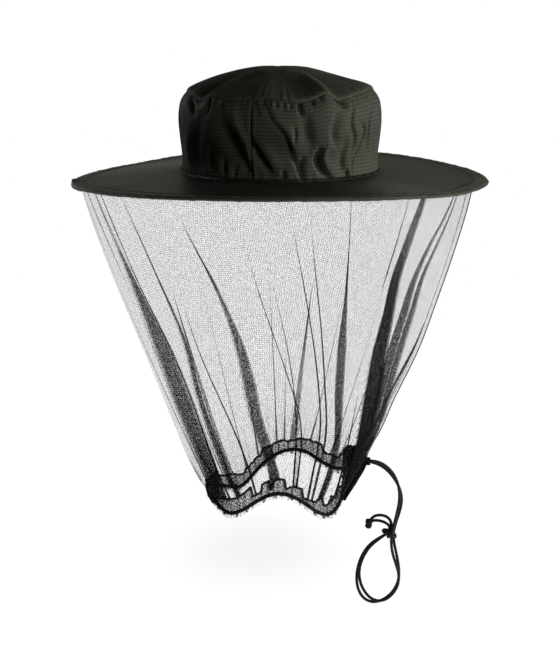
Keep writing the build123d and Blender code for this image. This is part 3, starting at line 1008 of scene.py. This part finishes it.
def hem_at(degrees):
    """The hem cord's radius and height at an azimuth."""
    wrapped = (degrees - RING_A[0]) % 360 + RING_A[0]
    r = np.interp(wrapped, RING_A, RING_R)
    z = np.interp(wrapped, RING_A, RING_Z)
    return r, z


# The thread line's height over the cord: (azimuth in degrees, millimetres). It climbs
# slowly and drops at once where the gathered channel folds over itself.
HEM_THREAD = [
    (-180, 9), (-166, 9), (-154, 6), (-137, 14), (-126, 15), (-119, 16.5), (-114.5, 18.5), (-113, 7.5),
    (-107, 6.5), (-105, 14), (-99.2, 14.5), (-98, 5), (-96.5, 5.5), (-95.2, 13.5), (-86, 14.5), (-85, 5),
    (-81.5, 8.5), (-71.5, 12.5), (-69.5, 4), (-57, 9), (-54, 14.5), (-50, 15), (-48.5, 8.5), (-44, 9.5),
    (-40, 17), (-35, 14), (-22, 14), (0, 15), (15, 17), (30, 15.5), (32, 12), (49, 12.5), (52.5, 13),
    (53.5, 18), (66, 14), (77, 10.5), (83.5, 9), (86, 11.5), (94, 12.5), (101, 13), (105, 15.5),
    (107.5, 12.5), (115, 14), (122, 12), (133, 13.5), (154, 10), (168, 8), (180, 9),
]


def thread_bumps(azimuth):
    """How far the thread line is lifted over its level height above the hem cord."""
    spot, height = np.array(HEM_THREAD, float).T
    lift = np.interp(half_turn(np.degrees(azimuth)), spot, height) * MM
    return lift + 0.0003 * ripple(azimuth, [71, 103, 149], 61) - CHANNEL_H


# Pleats of the net, each with its track of (share of the way down, azimuth), its width of
# (share, millimetres), its number of folds, and how much closer the net is in it.
FRONT_PLEATS = [
    ([(0, -166), (0.3, -162), (1, -150)], [(0, 0.9), (0.15, 0.7), (0.3, 0.3), (0.8, 1.5), (1, 3)], 1, 0.20),
    ([(0, -160), (0.12, -156), (0.26, -151.5), (1, -147)],
     [(0, 1.2), (0.1, 1.3), (0.24, 0.4), (0.4, 0.05), (1, 0.05)], 2, 0.30),
    ([(0, -153), (0.1, -150), (0.24, -146), (0.5, -141.5), (0.7, -141.5), (0.9, -142), (1, -143)],
     [(0, 0.9), (0.08, 1.8), (0.16, 4), (0.24, 10), (0.36, 19), (0.49, 30), (0.64, 31), (0.85, 26), (1, 17)],
     3, 0.09),
    ([(0, -149), (0.08, -147), (0.16, -145), (0.3, -141.5), (0.5, -135), (1, -134)],
     [(0, 0.7), (0.1, 1.4), (0.2, 0.8), (0.5, 1.5), (0.8, 2), (1, 2)], 2, 0.20),
    ([(0, -138.5), (0.22, -132), (0.47, -126.5), (0.62, -127.5), (0.9, -127), (1, -126)],
     [(0, 0.1), (0.06, 0.5), (0.3, 1.4), (0.47, 5), (0.62, 7), (0.8, 7.5), (1, 6)], 3, 0.09),
    ([(0, -119.5), (0.06, -118), (0.29, -110), (0.49, -105), (0.61, -103.5), (0.75, -102), (0.88, -98),
      (1, -94)],
     [(0, 0.03), (0.06, 0.1), (0.2, 1.2), (0.35, 4), (0.49, 9), (0.62, 12), (0.8, 11), (1, 10)], 3, 0.06),
    ([(0, -124), (0.44, -122), (0.88, -112), (1, -110)],
     [(0, 0.03), (0.3, 0.05), (0.5, 0.7), (0.9, 1.2), (1, 2)], 1, 0.18),
    ([(0, -101), (0.19, -99), (0.61, -86), (0.76, -79), (1, -76)],
     [(0, 0.03), (0.15, 0.1), (0.4, 0.6), (0.8, 1), (1, 2)], 1, 0.16),
    ([(0, -95), (0.28, -92), (0.5, -87), (0.76, -81.5), (1, -79)],
     [(0, 0.03), (0.22, 0.05), (0.5, 0.6), (0.8, 1), (1, 2)], 1, 0.16),
    ([(0, -88), (0.11, -86), (0.34, -81), (0.62, -73), (0.77, -68), (1, -66)],
     [(0, 0.03), (0.1, 0.2), (0.3, 0.8), (0.6, 1.3), (1, 2)], 1, 0.2),
    ([(0, -82), (0.11, -81), (0.39, -76), (0.62, -70), (0.77, -64.5), (1, -62)],
     [(0, 0.03), (0.1, 0.2), (0.3, 0.9), (0.6, 1.5), (1, 3)], 1, 0.2),
    ([(0, -71), (0.29, -68.6), (0.47, -66.5), (0.63, -63), (0.81, -56), (1, -54)],
     [(0, 0.3), (0.15, 0.8), (0.3, 2.5), (0.47, 9), (0.63, 9.5), (0.8, 7), (1, 7)], 3, 0.10),
    ([(0, -53), (0.14, -54.2), (0.25, -55.2), (0.36, -55.4), (0.6, -53.5), (1, -43)],
     [(0, 0.4), (0.1, 0.9), (0.22, 1.3), (0.3, 0.05), (0.6, 0.05), (0.8, 1.5), (1, 3)], 2, 0.20),
    ([(0, -47.5), (0.14, -50), (0.25, -51.2), (0.36, -50.3), (0.48, -49.2), (0.64, -44.8), (0.89, -34),
      (1, -28)],
     [(0, 7.5), (0.08, 10), (0.15, 11), (0.25, 12), (0.36, 13.5), (0.48, 18), (0.64, 22), (0.89, 18),
      (1, 14)], 3, 0.24),
    ([(0, -32), (0.06, -34.5), (0.15, -39.5), (0.25, -42.7), (0.36, -43), (0.48, -42.8), (0.64, -39.8),
      (0.89, -24), (1, -18)],
     [(0, 0.9), (0.08, 2.6), (0.15, 5), (0.25, 8), (0.36, 12.5), (0.48, 14), (0.64, 13), (0.89, 12),
      (1, 11)], 3, 0.09),
    ([(0, -30), (0.06, -31.3), (0.16, -35.3), (0.25, -38.4), (0.36, -38.2), (0.48, -37.8), (0.64, -34.3),
      (0.89, -15), (1, -8)],
     [(0, 0.8), (0.08, 1.6), (0.15, 3.2), (0.25, 6), (0.36, 10), (0.48, 11.5), (0.64, 12), (0.89, 10),
      (1, 10)], 3, 0.09),
    ([(0, 6), (0.3, 6), (0.6, 7), (1, 9)], [(0, 1.4), (0.12, 1.2), (0.3, 0.6), (0.6, 0.8), (0.9, 4), (1, 6)],
     2, 0.1),
]
# how far the net stands out beyond its smooth bell: (share of the way down, millimetres)
RIGHT_BULGE = [(0, -6), (0.1, -3), (0.24, 0), (0.43, 4), (0.6, 8.5), (0.8, 10), (0.93, 13.5), (1, 12)]
LEFT_BULGE = [(0, 0), (0.68, 0), (0.82, 4), (0.92, 7.5), (1, 7)]


def back_pleats():
    """Thin pleats round the unseen half: a few broad ones and many narrow ones."""
    rng = random.Random(7)
    made = []
    for k in range(12):
        top = 21 + k * 13.0 + rng.uniform(-4.0, 4.0)
        foot = 90 + (top - 90) * 0.94 + rng.uniform(-4, 4)
        broad = k in (4, 9)
        begin = rng.uniform(0.3, 0.6)
        wide = rng.uniform(5, 7) if broad else rng.uniform(0.4, 1.0)
        width = [(0, 0.02), (begin, 0.03), (begin + 0.25, wide * 0.5), (0.9, wide), (1, wide + 1.5)]
        track = [(0, top), (0.5, (top * 0.45 + foot * 0.55)), (1, foot)]
        made.append((track, width, 2 if broad else 1, 0.02 if broad else 0.05))
    return made


def fold_turns(count, rng):
    """Where a pleat turns back and forth across its width: nested, so its middle is thickest."""
    turns = [0.0]
    for k in range(count):
        reach = 1.0 if k == 0 else 1.0 - 0.16 * k / count - rng.uniform(0, 0.06)
        start = 0.02 + 0.16 * (k + 1) / count + rng.uniform(-0.02, 0.05)
        turns += [reach, min(start, reach - 0.2)]
    turns.append(1.0)
    return turns


def pleat_edges(share):
    """Each pleat's two edges, folds, closeness and width in millimetres, down the rows."""
    middle_r = np.interp(share, [0, 1], [NET_TOP_R, 0.069])
    edges = []
    for track, width, folds, close in sorted(FRONT_PLEATS + back_pleats(), key=lambda p: p[0][0][1]):
        wide = np.interp(share, *np.array(width).T)
        centre = np.radians(curve(track, share))
        half = np.maximum(wide, 0.02) * MM / 2 / middle_r
        edges.append((centre - half, centre + half, folds, close, wide))
    return edges, 0.0002 / middle_r


def net_columns(share, edges, margin):
    """The net's columns, pleat by pleat.

    Each has its azimuth, how far it stands out and its closeness, down the rows, and then the
    number of the plain stretch it is in, or -1 in a pleat.
    """
    rng = random.Random(3)
    open_net = np.zeros(len(share))
    columns = []
    for k, (low, high, folds, close, width) in enumerate(edges):
        turns = fold_turns(folds, rng)
        layers = len(turns) - 1
        depth = 0.00018 * np.clip(width, 0.3, 3) / 1.5
        narrow = 0.42 * (1 - np.clip(width / 3.0, 0, 1))  # narrow pleats are nearly solid
        seen = ease(0.05, 0.5, width)  # a pleat that has run out leaves no mark
        tight = close * (0.25 + 0.75 * ease(0.08, 0.33, share) + ease(0.5, 1.0, share))
        rim = np.minimum(0.00045 / np.maximum(width * MM, 1e-6), 0.3)
        columns.append((low - margin, layers / 2 * depth, open_net, -1))
        for i, (a, b) in enumerate(zip(turns[:-1], turns[1:])):
            line = (0.35, 0.85, 0.6)[min(i, 2)]
            for stop, crest in ((0 * rim, 1.0), (rim, 0.0), (0.5 + 0 * rim, 0.0), (1 - rim, 0.0)):
                where = low + (high - low) * (a + (b - a) * stop)
                out = (layers / 2 - i - stop) * depth
                columns.append((where, out, (line * crest + tight + narrow) * seen, -1))
        sunk = -layers / 2 * depth
        columns.append((high, sunk, 0.8 * seen, -1))
        columns.append((high + margin, sunk, open_net, -1))

        after = edges[(k + 1) % len(edges)][0] + (TAU if k + 1 == len(edges) else 0)
        gap = after - high
        count = max(4, int(round(gap[0] * NET_TOP_R / 0.0032)))
        for j in range(1, count):
            t = j / count
            columns.append((high + gap * t, sunk * (1 - ease(0, 1, min(1.0, 2 * t))), open_net, k))
    return columns


def net_surface(azimuth, offset, v):
    """The radius and height of the net at each azimuth and share v of the way down."""
    degrees = np.degrees(azimuth)
    foot_r, foot_z = hem_at(degrees)
    foot_z = foot_z + CHANNEL_H
    to_left = 0.5 + 0.5 * np.cos(azimuth - math.pi)
    belly = (0.0082 + 0.002 * to_left) * 4 * v * (1 - v)
    bulge = curve(RIGHT_BULGE, v) * np.exp(-((half_turn(degrees) / 38.0) ** 2))
    bulge = bulge + curve(LEFT_BULGE, v) * np.exp(-((half_turn(degrees + 180) / 34.0) ** 2))
    sway = 0.0016 * ripple(azimuth, [5, 9, 13], 51) * np.sin(math.pi * v)
    gathered = 0.0016 * gathers(azimuth) * ease(0.86, 0.99, v)
    radius = NET_TOP_R + (foot_r - NET_TOP_R) * v + belly + bulge * MM + offset + sway + gathered
    top_z = brim_z(NET_TOP_R, azimuth) - 0.0021
    return radius, top_z + (foot_z - top_z) * v


def net_uv(share, azimuth, radius, z, plain_of):
    """The net's own lengths: level from the middle of each plain stretch, and down the slope.

    Also gives the net's width when flat and its drop.
    """
    rows = len(share)
    closed = np.concatenate([azimuth, azimuth[:, :1] + TAU], axis=1)
    arc = np.abs(np.diff(closed, axis=1)) * radius
    along = np.concatenate([np.zeros((rows, 1)), np.cumsum(arc, axis=1)], axis=1)
    level = along[rows // 2]
    places, shifts = [], []
    for k in range(plain_of.max() + 1):
        stretch = np.where(plain_of == k)[0]
        anchor = stretch[len(stretch) // 2]
        places += [stretch[0], stretch[-1]]
        shifts += [level[anchor] - along[:, anchor]] * 2
    numbers = np.arange(along.shape[1])
    shift = np.array([np.interp(numbers, places, row) for row in np.array(shifts).T])
    drop = np.hypot(np.diff(z, axis=0), np.diff(radius, axis=0)).mean() * (rows - 1)
    uv = np.stack([along + shift, np.repeat(share[:, None] * drop, along.shape[1], axis=1)], -1)
    return uv, float(level[-1]), float(drop)


def side_seam(share, azimuth, radius, z):
    """The line of the net's one seam, at the right, a little in front of the cord's exit."""
    turn = np.radians(np.interp(share, [0, 1], [-5.8, -2.2]))
    reach, fall = [], []
    for row, angle in enumerate(turn):
        wrapped = azimuth[row] - TAU * (azimuth[row] > math.pi)
        reach.append(np.interp(angle, wrapped, radius[row], period=TAU))
        fall.append(np.interp(angle, azimuth[row], z[row], period=TAU))
    return polar(np.array(reach), turn, np.array(fall))


def make_net():
    """The whole net as one pleated surface, with its seam line and its flat sizes."""
    share = np.linspace(0, 1, 96)
    columns = net_columns(share, *pleat_edges(share))
    azimuth, offset, closeness_and_shade = (np.array([c[i] for c in columns]).T for i in range(3))
    plain_of = np.array([c[3] for c in columns])
    v = share[:, None] * np.ones_like(azimuth)
    radius, z = net_surface(azimuth, offset, v)
    uv, width, drop = net_uv(share, azimuth, radius, z, plain_of)

    from_right = half_turn(np.degrees(azimuth))
    edges = 0.06 * ease(0.85, 1.0, v) + 0.05 * (1 - ease(0.0, 0.03, v))
    crowded = 0.3 * np.clip(gathers(azimuth), 0, 1) * ease(0.78, 1.0, v)
    creased = 0.07 * np.exp(-(((from_right + 20) / 14.0) ** 2)) * (1 - ease(0.04, 0.25, v))
    closeness_and_shade = np.clip(closeness_and_shade + (edges + crowded + creased), 0, 0.9)
    points = polar(radius, azimuth, z + thread_bumps(azimuth) * ease(0.89, 1.0, v))
    net = grid_mesh("veil_net", points, uv, wrap=True, fields={"closeness_and_shade": closeness_and_shade})
    return net, side_seam(share, azimuth, radius, z), width, drop


net, seam_line, net_width, net_drop = make_net()
place(net, NET, None, "net", ["veil_net_upper", "veil_net_lower"])
net_seam = tube("veil_side_seam", seam_line, 0.0006, sides=6)
place(net_seam, THREAD, None, "net")
for hung in (net, net_seam):
    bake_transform(hung)


# ---------------------------------------------------------------- hem
def hem_ring(count):
    """Evenly spaced points of the hem cord, with their azimuths, and lengths along the cord."""
    steps = np.linalg.norm(np.diff(ring, axis=0), axis=1)
    along = np.concatenate([[0], np.cumsum(steps)])
    at = np.linspace(0, along[-1], count)
    points = np.stack([np.interp(at, along, ring[:, i]) for i in range(3)], -1)
    return points, np.arctan2(points[:, 1], points[:, 0]), at


def beside(spine, azimuth, out, lift):
    """The spine's points, moved outwards and up."""
    return spine + polar(1.0, azimuth, 0 * azimuth) * out[:, None] + UP * lift[:, None]


def bunching(azimuth):
    """How far each place is in the right bunch, at the cord's exit, and in the left one: 0 to 1."""
    degrees = np.degrees(azimuth)
    right = np.exp(-((degrees / 24.0) ** 2))
    left = np.exp(-((half_turn(degrees + 168) / 15.0) ** 2))
    return right, left


def thread_out(azimuth):
    """How far the thread line swings out from above the cord."""
    return (0.0017 * gathers(azimuth) + 0.0022 * ripple(azimuth, [23, 37, 47], 62)) * 1.2


def hem_strip(name, rows, at, heights, closeness_and_shade):
    """A piece of the hem's net from its rows of points, their heights when flat and its closeness."""
    uv = np.zeros((len(rows), len(at), 2))
    uv[..., 0] = at
    uv[..., 1] = heights[:, None]
    closeness_and_shade = np.repeat(closeness_and_shade[None, :], len(rows), axis=0)
    return grid_mesh(name, np.array(rows), uv, fields={"closeness_and_shade": closeness_and_shade})


def make_channel():
    """The net tube that the cord runs in, from the cord up to the thread line."""
    spine, azimuth, at = hem_ring(760)
    right, left = bunching(azimuth)
    section = [
        (0.0, -0.0018), (0.0019, -0.0006), (0.0021, 0.0022), (0.0013, 0.0062), (0.0003, CHANNEL_H),
        (-0.0005, CHANNEL_H), (-0.0014, 0.006), (-0.0021, 0.002), (-0.0019, -0.0006), (0.0, -0.0018),
    ]
    rows = []
    for depth, height in section:
        share = np.clip(height / CHANNEL_H, 0, 1)
        lift = height + thread_bumps(azimuth) * share**2
        out = depth + thread_out(azimuth) * share + 0.0006 * ripple(azimuth, [140, 171, 205], 63)
        rows.append(beside(spine, azimuth, out, lift))
    folds = np.clip(0.5 + 1.3 * ripple(azimuth, [53, 71, 97, 139], 64), 0, 1) ** 2
    closeness_and_shade = np.clip(0.13 + 0.40 * folds + 0.6 * right + 0.5 * left, 0, 0.95)
    obj = hem_strip("hem_channel_net", rows, at * 1.8, np.arange(len(section)) * 0.0035, closeness_and_shade)
    return place(obj, HEM_NET, "hem", "hem_cloth", ["hem_channel"])


def make_thread_line():
    """The dark gathering thread at the channel's top."""
    spine, azimuth, _ = hem_ring(900)
    line = beside(spine, azimuth, thread_out(azimuth), CHANNEL_H + thread_bumps(azimuth))
    radius = 0.0012 + 0.0003 * np.abs(ripple(azimuth, [211, 307, 401], 65))
    obj = tube("hem_thread_line", line, radius, sides=6)
    return place(obj, THREAD, "hem", "hem_cloth")


def make_frill():
    """The raw net edge below the cord, crowded into small ruffles and frayed."""
    spine, azimuth, at = hem_ring(1500)
    right, left = bunching(azimuth)
    shares = np.linspace(0, 1, 7)
    tufts = np.clip(1.6 * ripple(azimuth, [31, 47, 73], 71), 0, 1)
    deep = 0.0014 + 0.0032 * tufts + 0.0014 * (right + left)
    frayed = 0.0008 * ripple(azimuth, [311, 419, 523], 72)
    rows = []
    for share in shares:
        wave = 0.0019 * ripple(azimuth, [113, 149, 187, 229], 73) * (0.25 + share)
        rows.append(beside(spine, azimuth, 0.0004 + wave, -0.0006 - share * (deep + frayed * share)))
    closeness_and_shade = 0.5 + 0.5 * np.abs(ripple(azimuth, [97, 163, 211], 74))
    obj = hem_strip("hem_frill", rows, at * 2.2, shares * 0.005, closeness_and_shade)
    return place(obj, HEM_NET, "hem", "hem_cloth")


def make_fuzz():
    """Loose thread ends of the raw net edge."""
    rng = random.Random(19)
    spine, azimuth, _ = hem_ring(1200)
    ends = []
    for _ in range(1100):
        i = rng.randrange(len(spine))
        spot = Vector(spine[i]) + Vector((0, 0, -0.0015 - rng.uniform(0, 0.003)))
        a = azimuth[i] + rng.uniform(-1.2, 1.2)
        lean = Vector((math.cos(a), math.sin(a), 0)) * rng.uniform(-0.5, 1.0)
        step = (lean + Vector((0, 0, -rng.uniform(0.3, 1.0)))) * rng.uniform(0.0006, 0.0013)
        bend = Vector((rng.uniform(-1, 1), rng.uniform(-1, 1), rng.uniform(-1, 0.6))) * 0.0005
        ends.append(tube_points([spot, spot + step, spot + step * 1.9 + bend], 0.00011, 3))
    return place(many_tubes("hem_fuzz", ends), THREAD, "hem", "hem_cloth")


def bunch(name, line, widths, layers, seed, body, replaces=()):
    """Net crowded together: crumpled tubes laid along a line, one inside another."""
    steps, sides = 60, 90
    rng = np.random.default_rng(seed)
    line = np.array(line, float)
    share = np.linspace(0, 1, len(line))
    fine = np.linspace(0, 1, steps)
    spine = np.stack([curve(np.stack([share, line[:, i]], -1), fine) for i in range(3)], -1)
    wide = curve(np.stack([share, widths], -1), fine)
    ahead = np.gradient(spine, axis=0)
    ahead /= np.linalg.norm(ahead, axis=1)[:, None]
    side = np.cross(ahead, UP)
    side /= np.maximum(np.linalg.norm(side, axis=1), 1e-6)[:, None]
    other = np.cross(side, ahead)
    turn = np.linspace(0, TAU, sides, endpoint=False)[None, :]
    parts = []
    for k in range(layers):
        crumple = np.zeros((steps, sides))
        for waves in (3, 5, 8, 13, 19):
            phase = rng.uniform(0, TAU)
            drift = 2.5 * np.sin(3 * fine[:, None] + rng.uniform(0, TAU))
            crumple += np.sin(waves * turn + phase + drift) * rng.uniform(0.3, 1)
        crumple = 1 + 0.30 * crumple / 2.2
        radius = wide[:, None] * 0.8 * (0.35 + 0.65 * (k + 1) / layers) * np.clip(crumple, 0.35, 1.6)
        around = np.cos(turn)[..., None] * side[:, None] + np.sin(turn)[..., None] * other[:, None]
        uv = np.zeros((steps, sides + 1, 2))
        uv[..., 0] = np.arange(sides + 1) * 0.0009
        uv[..., 1] = (fine * 0.05)[:, None]
        points = spine[:, None] + radius[..., None] * around
        # painted shade in the hollows: the inward dents of the crumple are made closer, so the net there is
        # more opaque and painted darker
        closeness_and_shade = 0.68 + 0.22 * (crumple < 0.9)
        parts.append(grid_mesh(f"{name}_{k}", points, uv, wrap=True, fields={"closeness_and_shade": closeness_and_shade}))
    return place(joined(name, parts), HEM_NET, body, "hem_cloth", replaces)


channel = make_channel()
thread_line = make_thread_line()
frill = make_frill()
fuzz = make_fuzz()
hem_cord = nurbs_cord("hem_cord", HEM_ROUTE, 0.0019)
place(hem_cord, CORD_CURVE, "hem", "neck_cord", ["hem_drawcord"])
exit_bunch = bunch(
    "exit_bunch",
    [(0.0745, -0.001, -0.276), (0.0760, 0.0, -0.284), (0.0765, 0.0, -0.292), (0.0735, -0.004, -0.303),
     (0.067, -0.015, -0.315), (0.0625, -0.026, -0.324)],
    [0.0025, 0.0088, 0.0115, 0.0095, 0.006, 0.003], 3, 81, "hem", ["hem_exit_collar"],
)
left_bunch = bunch(
    "left_bunch",
    [(-0.0625, -0.014, -0.298), (-0.0665, -0.012, -0.308), (-0.0672, -0.014, -0.319),
     (-0.0645, -0.024, -0.328)],
    [0.0015, 0.0058, 0.0070, 0.0032], 3, 82, "hem",
)
bunch("exit_sleeve", [(0.0765, 0, -0.292), (0.083, 0, -0.292), (0.0905, 0, -0.2925)],
      [0.0052, 0.005, 0.0042], 2, 83, "cord_exit", ["cord_exit_sleeve"])
